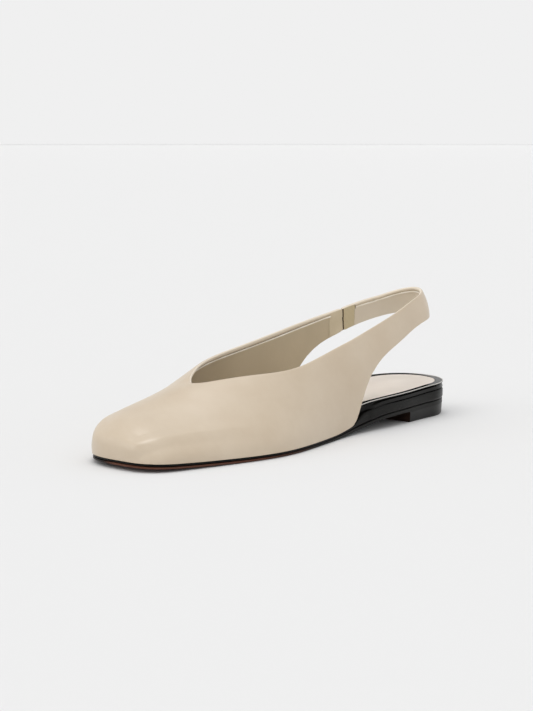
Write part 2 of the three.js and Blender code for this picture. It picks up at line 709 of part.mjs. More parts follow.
const PIECES = [
  { name: 'heel', geometry: heelBlock(), color: 0x1d1b19, roughness: 0.35 },
  { name: 'outsole', geometry: outsole(), color: 0x3a2a22, roughness: 0.4 },
  { name: 'midsole', geometry: midsole(), color: 0x211f1c, roughness: 0.35 },
  { name: 'footbed', geometry: footbed(), color: 0x262320, roughness: 0.4 },
  { name: 'sock', geometry: sock(), color: 0xd9cabb, roughness: 0.6 },
  { name: 'upper', geometry: upper(), color: 0xcbb699, roughness: 0.45 },
  { name: 'elastic', geometry: elastic(), color: 0x8f8462, roughness: 0.8 },
];

const shoe = new THREE.Group();
for (const { name, geometry, color, roughness } of PIECES) {
  const mesh = new THREE.Mesh(
    geometry,
    new THREE.MeshStandardMaterial({ color, roughness, metalness: 0 }),
  );
  mesh.name = name;
  shoe.add(mesh);
}
const extent = new THREE.Box3().setFromObject(shoe);
const centre = extent.getCenter(new THREE.Vector3());
shoe.position.set(-centre.x, -centre.y, -extent.min.z);
shoe.updateMatrixWorld(true);

export default shoe;
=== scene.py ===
"""Sling back flat, left shoe: the finished look of the leather upper, sock, rim, sole and heel.

Metres, +Z up, toe towards -Y, outer side of the foot towards +X, on the same frame as the solids.
"""

import math

import bmesh
import bpy
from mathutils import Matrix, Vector
from mathutils.bvhtree import BVHTree
from mathutils.kdtree import KDTree


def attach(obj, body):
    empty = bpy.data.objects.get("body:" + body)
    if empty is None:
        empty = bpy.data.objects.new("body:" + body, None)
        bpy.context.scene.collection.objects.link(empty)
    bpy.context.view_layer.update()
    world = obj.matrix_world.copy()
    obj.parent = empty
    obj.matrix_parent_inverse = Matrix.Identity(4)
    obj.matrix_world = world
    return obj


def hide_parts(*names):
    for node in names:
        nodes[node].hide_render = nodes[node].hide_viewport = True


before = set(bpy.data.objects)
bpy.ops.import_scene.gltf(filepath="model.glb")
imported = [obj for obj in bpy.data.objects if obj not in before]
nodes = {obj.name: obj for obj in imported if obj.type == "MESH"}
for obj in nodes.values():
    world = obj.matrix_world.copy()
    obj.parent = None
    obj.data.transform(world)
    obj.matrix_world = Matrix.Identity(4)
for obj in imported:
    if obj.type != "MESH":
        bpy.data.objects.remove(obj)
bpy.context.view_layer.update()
scene = bpy.context.scene
bpy.ops.object.select_all(action="DESELECT")
MM = 0.001


# Upper. One skin of smooth beige calf over a thin lining, lasted over the foot and cut to a V at
# the throat. The topline is folded over, and the lining is stitched in a little below the fold.

MERGED_WITHIN = 0.002 * MM


def select_only(piece):
    bpy.ops.object.select_all(action="DESELECT")
    bpy.context.view_layer.objects.active = piece
    piece.select_set(True)


def cut_from(node, name, *finishes):
    """A new piece on the node's own form, its loose triangles merged and paired."""
    piece = bpy.data.objects.new(name, nodes[node].data.copy())
    scene.collection.objects.link(piece)
    piece.data.materials.clear()
    select_only(piece)
    bpy.ops.mesh.customdata_custom_splitnormals_clear()
    bpy.ops.object.mode_set(mode="EDIT")
    bpy.ops.mesh.select_all(action="SELECT")
    bpy.ops.mesh.remove_doubles(threshold=MERGED_WITHIN)
    bpy.ops.mesh.tris_convert_to_quads(face_threshold=math.pi, shape_threshold=math.pi)
    bpy.ops.object.mode_set(mode="OBJECT")
    for look in finishes:
        piece.data.materials.append(look.material)
    return piece


def refine(piece, levels=2):
    """Subdivides a piece smoothly and applies it."""
    select_only(piece)
    rounding = piece.modifiers.new("rounding", "SUBSURF")
    rounding.levels = rounding.render_levels = levels
    bpy.ops.object.modifier_apply(modifier=rounding.name)


def finish(piece, slot, *stands_for, smooth_under=40):
    """Shades a finished piece, gives it its body and hides the nodes that it stands for; its slot
    is not used.
    """
    select_only(piece)
    bpy.ops.object.shade_smooth_by_angle(angle=math.radians(smooth_under))
    piece.select_set(False)
    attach(piece, "root")
    if stands_for:
        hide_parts(*stands_for)


def linear(red, green, blue):
    """A colour given as a screen shows it, 0 to 255, in the light values that a shader takes."""
    def one(value):
        value /= 255
        return value / 12.92 if value <= 0.04045 else ((value + 0.055) / 1.055) ** 2.4
    return (one(red), one(green), one(blue), 1.0)


class Finish:
    """A material under construction, with a few short ways to add its nodes."""

    # Where a drifting colour starts and stops changing, as shares of its noise
    DRIFT = (0.3, 0.7)

    def __init__(self, name, roughness, coat=0.0, coat_roughness=0.2, sheen=0.0, specular=0.5):
        self.material = bpy.data.materials.new(name)
        self.material.use_nodes = True
        self.tree = self.material.node_tree
        self.shader = self.tree.nodes["Principled BSDF"]
        self.set("Roughness", roughness)
        self.set("Coat Weight", coat)
        self.set("Coat Roughness", coat_roughness)
        self.set("Sheen Weight", sheen)
        self.set("Specular IOR Level", specular)
        self.place = self.add("ShaderNodeTexCoord").outputs["Object"]

    def set(self, socket, value):
        """Gives the shader one even value."""
        self.shader.inputs[socket].default_value = value

    def give(self, socket, source):
        """Lets a source rule one of the shader's values."""
        self.link(source, self.shader.inputs[socket])

    def add(self, kind, **values):
        """A new node, each value put on its input of that name or else on its setting."""
        node = self.tree.nodes.new(kind)
        for key, value in values.items():
            if key in node.inputs:
                node.inputs[key].default_value = value
            else:
                setattr(node, key, value)
        return node

    def link(self, source, target):
        self.tree.links.new(source, target)

    def texture(self, kind, **values):
        """The outputs of a texture laid in the object's own space."""
        texture = self.add(kind, **values)
        self.link(self.place, texture.inputs["Vector"])
        return texture.outputs

    def noise(self, size_mm, detail=3.0, roughness=0.5):
        """Noise whose features are about size_mm across."""
        return self.texture("ShaderNodeTexNoise", Scale=1 / (size_mm * MM), Detail=detail,
                            Roughness=roughness)["Fac"]

    def cells(self, size_mm):
        """A pattern of cells about size_mm across."""
        return self.texture("ShaderNodeTexVoronoi", Scale=1 / (size_mm * MM))["Distance"]

    def ramp(self, source, *stops):
        """A colour ramp: stops are (position, colour or grey)."""
        ramp = self.add("ShaderNodeValToRGB")
        points = ramp.color_ramp.elements
        while len(points) < len(stops):
            points.new(0.5)
        for point, (position, colour) in zip(points, stops):
            point.position = position
            point.color = colour if isinstance(colour, tuple) else (colour, colour, colour, 1)
        self.link(source, ramp.inputs["Fac"])
        return ramp.outputs["Color"]

    def shades(self, size_mm, dark, light, detail=3.0):
        """A colour that drifts between two shades, in patches about size_mm across."""
        return self.ramp(self.noise(size_mm, detail), *zip(self.DRIFT, (dark, light)))

    def math(self, operation, *values, clamped=False):
        """The result of one operation on sources and numbers."""
        node = self.add("ShaderNodeMath", operation=operation, use_clamp=clamped)
        for slot, value in zip(node.inputs, values):
            if isinstance(value, (int, float)):
                slot.default_value = value
            else:
                self.link(value, slot)
        return node.outputs["Value"]

    def mix(self, factor, below, above):
        """One colour laid over another, as far as the factor says."""
        node = self.add("ShaderNodeMix", data_type="RGBA")
        for socket, value in (("Factor_Float", factor), ("A_Color", below), ("B_Color", above)):
            target = next(one for one in node.inputs if one.identifier == socket)
            if isinstance(value, tuple):
                target.default_value = value
            else:
                self.link(value, target)
        return next(one for one in node.outputs if one.identifier == "Result_Color")

    def attribute(self, name):
        return self.add("ShaderNodeAttribute", attribute_name=name).outputs["Fac"]

    def along(self, source, axis):
        """A place's or a direction's share along one axis."""
        split = self.add("ShaderNodeSeparateXYZ")
        self.link(source, split.inputs["Vector"])
        return split.outputs[axis]

    def facing(self, axis):
        """How far the surface faces along an axis, -1 to 1."""
        return self.along(self.add("ShaderNodeNewGeometry").outputs["Normal"], axis)

    def rising(self, axis, start, end):
        """Rises from 0 at the place start on an axis to 1 at the place end."""
        per_metre = 1 / (end - start)
        place = self.along(self.place, axis)
        return self.math("MULTIPLY_ADD", place, per_metre, -start * per_metre, clamped=True)

    def colour(self, source):
        self.give("Base Color", source)

    def relief(self, *layers):
        """Bumps, each (height source, depth in mm), one over the other."""
        normal = None
        for source, depth in layers:
            bump = self.add("ShaderNodeBump", Distance=depth * MM, Strength=1.0)
            self.link(source, bump.inputs["Height"])
            if normal is not None:
                self.link(normal, bump.inputs["Normal"])
            normal = bump.outputs["Normal"]
        self.give("Normal", normal)


CALF = linear(202, 185, 162)
CALF_DEEP = linear(198, 180, 156)
CALF_LIGHT = linear(206, 190, 168)
# Paler calf for the topline's edge: a painted highlight on the rolled rim
CALF_RIM_HIGHLIGHT = linear(226, 213, 193)
CALF_FOLDED = linear(198, 182, 158)
LINING = linear(198, 183, 155)
LINING_DEEP = linear(192, 177, 149)
STRAP_LINING = linear(218, 206, 187)
SEAM_SHADOW = linear(118, 102, 80)
# The lining turns paler over this stretch, towards the heel
STRAP_LINING_FROM = 72 * MM
STRAP_LINING_FULL = 80 * MM
# How far below the topline the painted highlight on the rim, the roll, the fold and the painted
# seam shadow end, in mm
RIM = 1.1
ROLL = (0.7, 0.98)
FOLD = 1.65
SEAM = 2.05
RAMP_SPAN = 10
# Half the width of the fold line along the toe's shoulder, in mm
FOLD_LINE_HALF = 1.5

calf = Finish("calf", roughness=0.4, coat=0.3, coat_roughness=0.24)
cloud = calf.noise(30, detail=5, roughness=0.62)
skin = calf.ramp(cloud, (0.3, CALF_DEEP), (0.5, CALF), (0.7, CALF_LIGHT))
# Along the topline the outer skin is painted paler, as a highlight
on_rim_highlight = calf.math("LESS_THAN", calf.attribute("below_fold"), RIM)
calf.colour(calf.mix(on_rim_highlight, skin, CALF_RIM_HIGHLIGHT))
calf.give("Roughness", calf.shades(9, 0.37, 0.45))
# A sharp fold line along the toe's shoulder, then a slow waviness, pores and fine grain cells
off_line = calf.math("POWER", calf.attribute("off_shoulder"), 2)
fold_line = calf.math("POWER", math.e, calf.math("MULTIPLY", off_line, -1 / FOLD_LINE_HALF ** 2))
fold_line = calf.math("MULTIPLY", fold_line, calf.attribute("shoulder_share"))
calf.relief((calf.noise(14, detail=2), 0.05), (calf.noise(1.1, detail=4), 0.012),
            (calf.cells(0.55), 0.01), (fold_line, 0.14))

lining = Finish("lining", roughness=0.62, sheen=0.08)
below_fold = lining.attribute("below_fold")
skin = lining.ramp(lining.noise(26, detail=4), (0.35, LINING_DEEP), (0.65, LINING))
on_strap = lining.rising("Y", STRAP_LINING_FROM, STRAP_LINING_FULL)
skin = lining.mix(on_strap, skin, STRAP_LINING)
folded = lining.math("LESS_THAN", below_fold, FOLD)
# Inside, the roll is a painted highlight that fades into the turned-over calf of the fold
roll = lining.ramp(lining.math("MULTIPLY", below_fold, 1 / RAMP_SPAN),
                   (ROLL[0] / RAMP_SPAN, CALF_RIM_HIGHLIGHT), (ROLL[1] / RAMP_SPAN, CALF_FOLDED))
in_seam = lining.math("MULTIPLY", lining.math("GREATER_THAN", below_fold, FOLD),
                      lining.math("LESS_THAN", below_fold, SEAM))
in_seam = lining.math("MULTIPLY", in_seam, lining.attribute("sewn"))
lining.colour(lining.mix(in_seam, lining.mix(folded, skin, roll), SEAM_SHADOW))
lining.relief((lining.noise(3.5, detail=4), 0.05), (lining.cells(0.8), 0.02))

upper = cut_from("upper", "upper_calf", calf, lining)

SHARP = math.radians(45)
# The middle of the foot, from which its skin faces away: a line that rises with the skin
HUB_FRONT = -85 * MM
HUB_BACK = 95 * MM
HUB_RISE = 0.35
# The narrow faces at the wall's edges: those on the sole face down, and the topline's face up or
# lie ahead of a place in the throat, where it is steep. The others end the strap and the quarters.
FACES_DOWN = -0.75
FACES_UP = 0.35
IN_THROAT = -50 * MM
SOLE_CREASE = 1.0
TOPLINE_CREASE = 0.25
END_CREASE = 0.45


def smooth_patches(mesh):
    """Patches of faces that meet at soft edges, the largest first."""
    left = set(mesh.faces)
    patches = []
    while left:
        patch = [left.pop()]
        for face in patch:
            for edge in face.edges:
                if len(edge.link_faces) != 2 or edge.calc_face_angle() > SHARP:
                    continue
                for other in edge.link_faces:
                    if other in left:
                        left.discard(other)
                        patch.append(other)
        patches.append(patch)
    return sorted(patches, key=lambda patch: -sum(face.calc_area() for face in patch))


def faces_out(face):
    """Whether a face looks away from the middle of the foot."""
    centre = face.calc_center_median()
    hub = Vector((0, min(max(centre.y, HUB_FRONT), HUB_BACK), HUB_RISE * centre.z))
    return face.normal.dot(centre - hub) > 0


shell = bmesh.new()
shell.from_mesh(upper.data)
shell.normal_update()
outside, inside = smooth_patches(shell)[:2]
if sum(map(faces_out, outside)) < sum(map(faces_out, inside)):
    outside, inside = inside, outside
inner_faces = set(inside)
skins = inner_faces.union(outside)
for face in shell.faces:
    face.material_index = 1 if face in inner_faces else 0

crease = shell.edges.layers.float.new("crease_edge")
topline_edges = []
for edge in shell.edges:
    narrow = [face for face in edge.link_faces if face not in skins]
    if not narrow or len(narrow) == 2:
        continue
    up = narrow[0].normal.z
    if up < FACES_DOWN:
        edge[crease] = SOLE_CREASE
    elif up > FACES_UP or narrow[0].calc_center_median().y < IN_THROAT:
        edge[crease] = TOPLINE_CREASE
        if any(face in inner_faces for face in edge.link_faces):
            topline_edges.append(edge)
    else:
        edge[crease] = END_CREASE
groups = {"topline": {vert.index for edge in topline_edges for vert in edge.verts},
          "inner": {vert.index for face in inside for vert in face.verts}}
shell.to_mesh(upper.data)
shell.free()
for name, numbers in groups.items():
    upper.vertex_groups.new(name=name).add(sorted(numbers), 1.0, "REPLACE")
refine(upper)


def members(piece, name, least):
    """The numbers of the vertices that weigh more than least in a group."""
    index = piece.vertex_groups[name].index
    return {vert.index for vert in piece.data.vertices
            if any(one.group == index and one.weight > least for one in vert.groups)}


def skin_tree(piece, material):
    """The faces of one material, for finding places on them."""
    faces = [face.vertices[:] for face in piece.data.polygons if face.material_index == material]
    return BVHTree.FromPolygons([vert.co for vert in piece.data.vertices], faces)


def near(places):
    """A tree that finds the nearest of many places."""
    tree = KDTree(len(places))
    for number, place in enumerate(places):
        tree.insert(place, number)
    tree.balance()
    return tree


def even(places, step):
    """The same path with its places a step apart."""
    kept = [places[0]]
    for start, end in zip(places, places[1:]):
        parts = max(1, round((end - start).length / step))
        kept += [start.lerp(end, part / parts) for part in range(1, parts + 1)]
    return kept


def eased(places, times):
    """A path with its small kinks taken out."""
    for _ in range(times):
        middle = [(a + b + b + c) / 4 for a, b, c in zip(places, places[1:], places[2:])]
        places = [places[0], *middle, places[-1]]
    return places


# The toe's shoulder, in mm: where the top turns down to the wall, and how far it stands out
SHOULDER = (
    ((33.0, -56.0, 16.0), 0.0), ((28.8, -71.0, 15.8), 0.45), ((23.4, -87.3, 15.8), 0.8),
    ((19.4, -101.1, 15.1), 1.0), ((16.4, -111.5, 14.3), 1.2), ((13.6, -118.2, 12.6), 1.4),
    ((11.6, -120.9, 11.9), 1.5), ((8.6, -121.5, 12.6), 1.2), ((2.3, -121.8, 14.3), 0.8),
    ((-5.0, -121.6, 14.6), 0.7), ((-11.0, -120.6, 13.6), 0.9), ((-16.5, -117.6, 12.4), 1.2),
    ((-19.5, -112.5, 13.2), 1.1), ((-22.5, -105.0, 14.6), 0.9), ((-26.0, -93.0, 16.0), 0.6),
    ((-30.5, -76.0, 17.0), 0.3), ((-34.0, -60.0, 17.5), 0.0),
)
SHOULDER_HIGHEST = 1.5
SHOULDER_REACH = 6.5 * MM
SHOULDER_PARTS = 12
SHOULDER_EASED = 6


def raise_shoulder(piece):
    """Pushes the skin out along the toe's shoulder, its lining with it."""
    outer_skin = skin_tree(piece, 0)
    path, heights = [], []
    for (start, low), (end, high) in zip(SHOULDER, SHOULDER[1:]):
        for part in range(SHOULDER_PARTS):
            share = part / SHOULDER_PARTS
            place = (Vector(start) * MM).lerp(Vector(end) * MM, share)
            path.append(outer_skin.find_nearest(place)[0])
            heights.append(low + (high - low) * share)
    along = near(eased(path, SHOULDER_EASED))
    off_shoulder = piece.data.attributes.new("off_shoulder", "FLOAT", "POINT").data
    shoulder_share = piece.data.attributes.new("shoulder_share", "FLOAT", "POINT").data
    lining_side = members(piece, "inner", least=0.5)
    normals = [vert.normal.copy() for vert in piece.data.vertices]
    for vert, normal in zip(piece.data.vertices, normals):
        nearest, number, away = along.find(vert.co)
        off_shoulder[vert.index].value = math.copysign(away / MM, vert.co.z - nearest.z)
        shoulder_share[vert.index].value = heights[number] / SHOULDER_HIGHEST
        share = 1 - (away / SHOULDER_REACH) ** 2
        if share > 0:
            side = -1 if vert.index in lining_side else 1
            vert.co += normal * side * heights[number] * MM * share * share


raise_shoulder(upper)

# The slit's middle as the solid has it, and the directions across and along it
SLIT_CUT = Vector((0, 73.05, 55.4)) * MM
SLIT_ACROSS = Vector((0, 13.9, 4.1)).normalized()
SLIT_ALONG = Vector((0, -4.1, 13.9)).normalized()
# Along the strap the slit is shown a little nearer to the toe, and its edges nearly together
SLIT_SLID = 2 * MM
SLIT_SLIDES = 24 * MM
SLIT_MIDDLE = SLIT_CUT - SLIT_ACROSS * SLIT_SLID
SLIT_CLOSED_BY = 0.36 * MM
SLIT_REACH = 6 * MM
# The strap's inner side lies past this place across the foot
STRAP_INNER = -10 * MM
# The throat's point is drawn in a little
THROAT_POINT = Vector((-4.5, -68.5, 34.5)) * MM
THROAT_IN = 1.5 * MM
THROAT_REACH = 9 * MM


def slid(place):
    """A place on the strap, moved along with the slit."""
    share = 1 - ((place - SLIT_CUT).dot(SLIT_ACROSS) / SLIT_SLIDES) ** 2
    if place.x > STRAP_INNER or share <= 0:
        return place
    return place - SLIT_ACROSS * SLIT_SLID * share * share


def behind_slit(place):
    """How far a place lies from the slit's middle, towards the heel."""
    return (place - SLIT_MIDDLE).dot(SLIT_ACROSS)


for vert in upper.data.vertices:
    vert.co = slid(vert.co)
    away = behind_slit(vert.co)
    if vert.co.x < STRAP_INNER and abs(away) < SLIT_REACH:
        vert.co -= SLIT_ACROSS * math.copysign(SLIT_CLOSED_BY * (1 - abs(away) / SLIT_REACH), away)
    near_point = 1 - (vert.co - THROAT_POINT).length / THROAT_REACH
    if near_point > 0:
        vert.co.y += THROAT_IN * near_point * near_point * (3 - 2 * near_point)

# Only a vertex right on the topline keeps its whole weight when the piece is subdivided
WHOLE = 0.999
# The fold is cut wider towards the throat's point
FOLD_WIDER = 0.3
FOLD_WIDENS = 45 * MM
PATH_STEP = 1 * MM
# The lining's turned edge stops short of the slit and its elastic, this far before and behind
EDGE_STOPS = (-9 * MM, 10.2 * MM)


def longest_run(beside, starts):
    """The longest run of numbers, each beside the one before it, from any of the starts."""
    seen = set()
    runs = []
    for start in starts:
        if start in seen:
            continue
        run = []
        onward = [start]
        while onward:
            run.append(onward[0])
            seen.add(onward[0])
            onward = [other for other in beside[run[-1]] if other not in seen]
        runs.append(run)
    return max(runs, key=len)


def chained(piece, name):
    """The longest run of places along the edges of a group, in order."""
    beside = {number: [] for number in members(piece, name, least=WHOLE)}
    for edge in piece.data.edges:
        first, second = edge.vertices
        if first in beside and second in beside:
            beside[first].append(second)
            beside[second].append(first)
    ends = sorted(number for number in beside if len(beside[number]) == 1)
    return [piece.data.vertices[number].co.copy() for number in longest_run(beside, ends)]


def fold_width(place):
    """The fold's width against its usual one."""
    return 1 + FOLD_WIDER * max(0, 1 - (place.y - THROAT_POINT.y) / FOLD_WIDENS)


def sewn_in(place):
    """Whether the lining's turned edge shows at a place."""
    return place.x > 0 or not EDGE_STOPS[0] < behind_slit(place) < EDGE_STOPS[1]


topline = even(chained(upper, "topline"), PATH_STEP)
near_topline = near(topline)
measured = {
    "below_fold": lambda place: near_topline.find(place)[2] / MM / fold_width(place),
    "sewn": lambda place: float(sewn_in(place)),
}
for name, measure in measured.items():
    values = [measure(vert.co) for vert in upper.data.vertices]
    upper.data.attributes.new(name, "FLOAT", "POINT").data.foreach_set("value", values)
finish(upper, "upper_leather", "upper", smooth_under=60)


# Lining edge. The lining's own edge, turned under and stitched to the calf a little below the
# fold. It shows as a fine pale line round the inside of the topline.

# The edge is near white, far paler than the lining: partly its own colour, partly a painted
# highlight
LINING_EDGE = linear(252, 246, 234)
LINING_EDGE_DEEP = linear(232, 222, 204)
LINING_EDGE_BELOW = 2.35 * MM
LINING_EDGE_LIFT = 0.2 * MM
LINING_EDGE_RADIUS = 0.42 * MM
LINING_EDGE_EASED = 8


def tube(name, runs, radius, look):
    """A thin round cord through each run of places."""
    line = bpy.data.curves.new(name, "CURVE")
    line.dimensions = "3D"
    line.bevel_depth = radius
    line.bevel_resolution = 2
    line.use_fill_caps = True
    for run in runs:
        spline = line.splines.new("POLY")
        spline.points.add(len(run) - 1)
        for point, place in zip(spline.points, run):
            point.co = (*place, 1)
    piece = bpy.data.objects.new(name, line)
    scene.collection.objects.link(piece)
    select_only(piece)
    bpy.ops.object.convert(target="MESH")
    piece.data.materials.clear()
    piece.data.materials.append(look.material)
    return piece


inner_skin = skin_tree(upper, 1)
edge_path = []
for before, place, after in zip(topline, topline[1:], topline[2:]):
    normal = inner_skin.find_nearest(place)[1]
    down = (after - before).cross(normal).normalized()
    down = down if down.z < 0 else -down
    below = place + down * LINING_EDGE_BELOW * fold_width(place)
    on_skin, normal, _, _ = inner_skin.find_nearest(below)
    if sewn_in(place):
        edge_path.append(on_skin + normal * LINING_EDGE_LIFT)
edge_leather = Finish("lining_edge", roughness=0.5, coat=0.1)
edge_leather.colour(edge_leather.shades(6, LINING_EDGE_DEEP, LINING_EDGE))
edge_leather.relief((edge_leather.noise(0.9), 0.04))
edge_run = eased(edge_path, LINING_EDGE_EASED)
lining_edge = tube("lining_edge", [edge_run], LINING_EDGE_RADIUS, edge_leather)
finish(lining_edge, "upper_leather")


# Sock. A full-length insole cover of pale, pinkish lining leather, glued in the footbed's recess
# and left with a plain cut edge. Along the outer side of the waist it runs out over the rim.

SOCK_DEEP = linear(218, 207, 196)
SOCK_LIGHT = linear(226, 217, 207)
SOCK_OUT = 1.0 * MM
# It runs out from the waist's start to its full width, and back in where the heel turns round
WAIST_FROM = 5 * MM
WAIST_FULL = 20 * MM
HEEL_ROUND = 88 * MM
HEEL_BACK = 108 * MM
SIDE_FULL = 12 * MM
# Vertices this near to the sock's outline, seen from above, move out with it
AT_OUTLINE = 1.5 * MM
# A line along the foot, from which the sole's edge faces away
SOLE_HUB_FRONT = -85 * MM
SOLE_HUB_BACK = 100 * MM
LOOKS_UP = 0.9

sock_leather = Finish("sock_leather", roughness=0.55, sheen=0.05)
sock_leather.colour(sock_leather.shades(30, SOCK_DEEP, SOCK_LIGHT, detail=4))
sock_leather.relief((sock_leather.noise(5, detail=4), 0.05), (sock_leather.cells(0.9), 0.03))


def crease_ridges(piece, over=20):
    """Holds the edges of a piece that turn by more than so many degrees while it is subdivided."""
    layer = bmesh.new()
    layer.from_mesh(piece.data)
    held = layer.edges.layers.float.new("crease_edge")
    for edge in layer.edges:
        if len(edge.link_faces) == 2 and edge.calc_face_angle() > math.radians(over):
            edge[held] = 1.0
    layer.to_mesh(piece.data)
    layer.free()


def top_outline(piece):
    """The outline of a sole layer's top face, in order round the foot."""
    layer = bmesh.new()
    layer.from_mesh(piece.data)
    layer.normal_update()
    linked = {}
    for edge in layer.edges:
        ups = [face.normal.z > LOOKS_UP for face in edge.link_faces]
        if len(ups) == 2 and ups[0] != ups[1]:
            first, second = edge.verts
            linked.setdefault(first.index, []).append(second.index)
            linked.setdefault(second.index, []).append(first.index)
    places = [vert.co.copy() for vert in layer.verts]
    layer.free()
    kept = {number for number, others in linked.items() if len(others) == 2}
    beside = {number: [other for other in linked[number] if other in kept] for number in kept}
    return [places[number] for number in longest_run(beside, sorted(kept))]


def outward(line):
    """The level direction away from the foot at each place of a closed line round it."""
    directions = []
    for before, place, after in zip(line[-1:] + line[:-1], line, line[1:] + line[:1]):
        out = (after - before).cross(Vector((0, 0, 1))).normalized()
        hub = Vector((0, min(max(place.y, SOLE_HUB_FRONT), SOLE_HUB_BACK), place.z))
        directions.append(out if out.dot(place - hub) > 0 else -out)
    return directions


def rise(value, start, end):
    """Rises from 0 at start to 1 at end."""
    return min(1, max(0, (value - start) / (end - start)))


def run_out(place):
    """How far the sock runs out at a place."""
    waist = rise(place.y, WAIST_FROM, WAIST_FULL) * rise(place.y, HEEL_BACK, HEEL_ROUND)
    return SOCK_OUT * waist * rise(place.x, 0, SIDE_FULL)


def apart(one, other):
    """How far two places are apart, seen from above."""
    return math.hypot(one.x - other.x, one.y - other.y)


sock = cut_from("sock", "sock", sock_leather)
sock_line = top_outline(sock)
sock_line = even(sock_line + sock_line[:1], PATH_STEP)[:-1]
sock_out = outward(sock_line)
near_sock = near(sock_line)


def widen(vert):
    """Moves a vertex at the sock's outline out with it."""
    place, number, _ = near_sock.find(vert.co)
    if apart(vert.co, place) < AT_OUTLINE:
        vert.co += sock_out[number] * run_out(vert.co)


for vert in sock.data.vertices:
    widen(vert)
crease_ridges(sock)
refine(sock)
finish(sock, "sock_lining", "sock")


# Footbed rim. The insole board's edge is wrapped in black leather that shows as a rounded band
# round the open waist and heel, with a bead at its shoulder, a groove and a welt under that.

BLACK_DEEP = linear(15, 15, 13)
BLACK_LIGHT = linear(23, 22, 20)
# The rim's top is dull along the waist and polished round the heel, and its side is polished
SIDE_POLISH = 0.13
HEEL_POLISH = 0.3
SIDE_FACES_UP = 0.2
TOP_FACES_UP = 0.5
POLISH_FROM = 96 * MM
POLISH_FULL = 112 * MM
# Heights below the sock's top, in mm, as the solid has them and as they are shown: the bead at the
# rim's shoulder narrower, the groove under it wider, the welt under that a little lower
RIM_STEPS = (
    (-9.0, -9.0), (0.05, 0.1), (0.32, 0.28), (0.87, 0.5), (1.36, 0.75), (1.69, 1.2),
    (2.02, 1.65), (3.0, 3.45), (3.33, 3.8), (90.0, 90.0),
)
# The heights between which the solid's groove lies, in mm, and how much deeper it is shown
GROOVE = (1.5, 1.85)
GROOVE_IN = 0.4 * MM

rim_black = Finish("rim_black", roughness=0.3, specular=0.0)
rim_black.colour(rim_black.shades(12, BLACK_DEEP, BLACK_LIGHT))
on_side = rim_black.ramp(rim_black.facing("Z"), (SIDE_FACES_UP, SIDE_POLISH), (TOP_FACES_UP, 0.0))
round_heel = rim_black.rising("Y", POLISH_FROM, POLISH_FULL)
at_heel = rim_black.math("MULTIPLY", round_heel, HEEL_POLISH)
rim_black.give("Specular IOR Level", rim_black.math("MAXIMUM", on_side, at_heel))
rim_black.relief((rim_black.noise(4, detail=3), 0.03), (rim_black.cells(0.7), 0.008))


def stepped(depth):
    """The depth at which a depth in the solid is shown."""
    for (start, shown), (end, shown_end) in zip(RIM_STEPS, RIM_STEPS[1:]):
        if start <= depth <= end:
            return shown + (shown_end - shown) * (depth - start) / (end - start)


rim = cut_from("footbed", "footbed_rim", rim_black)
for vert in rim.data.vertices:
    edge, number, _ = near_sock.find(vert.co)
    depth = (edge.z - vert.co.z) / MM
    share = rise(vert.co.y, WAIST_FROM, WAIST_FULL)
    if apart(vert.co, edge) > AT_OUTLINE:
        vert.co.z += (depth - stepped(depth)) * MM * share
        if GROOVE[0] < depth < GROOVE[1]:
            vert.co -= sock_out[number] * GROOVE_IN * share
    widen(vert)
crease_ridges(rim, over=45)
refine(rim)
finish(rim, "rim", "footbed")


# Rim cord and bead. Beside the sock the black wrap is turned down over a cord, which lies higher
# on the inner side. The bead is a pale cord along the wrap's outer shoulder from the waist round
# the heel, a painted highlight.

CORD_RADIUS = 0.45 * MM
CORD_OUT = 0.6 * MM
# Its height above the sock's top on the outer and the inner side, and where it changes over
CORD_RISES = (-0.4 * MM, 0.35 * MM)
CORD_OUTER = 10 * MM
CORD_INNER = -10 * MM
# A pale grey for the bead along the wrap's outer shoulder, as a painted highlight
HIGHLIGHT_PAINT_DEEP = linear(180, 178, 173)
HIGHLIGHT_PAINT_LIGHT = linear(200, 198, 193)
BEAD_RADIUS = 0.28 * MM
BEAD_OUT = 4.4 * MM
# The bead comes out from inside the upper, where that ends
BEAD_FROM = 24 * MM
BEAD_TUCK = 2.6 * MM
UPPER_ENDS = 31 * MM
RIM_EASED = 4

paint_highlight = Finish("rim_shoulder_highlight", roughness=0.4, specular=0.1)
paint_highlight.colour(paint_highlight.shades(10, HIGHLIGHT_PAINT_DEEP, HIGHLIGHT_PAINT_LIGHT))
paint_highlight.relief((paint_highlight.noise(1.2), 0.02))

# The sock's outline in order, starting at the toe
places_round = len(sock_line)
back = max(range(places_round), key=lambda number: sock_line[number].y)
toe = back + places_round // 2
cord_path, bead_path = [], []
for step in range(places_round):
    number = (toe + step) % places_round
    place, out = sock_line[number], sock_out[number]
    if place.y > WAIST_FROM:
        higher = (CORD_RISES[1] - CORD_RISES[0]) * rise(place.x, CORD_OUTER, CORD_INNER)
        up = Vector((0, 0, CORD_RISES[0] + higher))
        cord_path.append(place + out * (run_out(place) + CORD_OUT) + up)
    if place.y > BEAD_FROM:
        tucked = BEAD_TUCK * rise(place.y, UPPER_ENDS, BEAD_FROM)
        bead_path.append(place + out * (BEAD_OUT - tucked))
rim_cord = tube("rim_cord", [eased(cord_path, RIM_EASED)], CORD_RADIUS, rim_black)
finish(rim_cord, "rim")
rim_highlight_cord = tube("rim_highlight_cord", [eased(bead_path, RIM_EASED)], BEAD_RADIUS, paint_highlight)
finish(rim_highlight_cord, "rim")


# Midsole. A wedge of stacked leather under the heel and the waist, thin in the forefoot, its
# edge dyed black and polished.

# Depths below the sock's top between which its top edge lies, in mm. That is shown as much lower
# as the welt over it, from the end of the waist on.
UNDER_WELT = (3.4, 4.7)
WELT_LOWER = 0.5 * MM
WELT_FROM = 40 * MM
WELT_FULL = 60 * MM

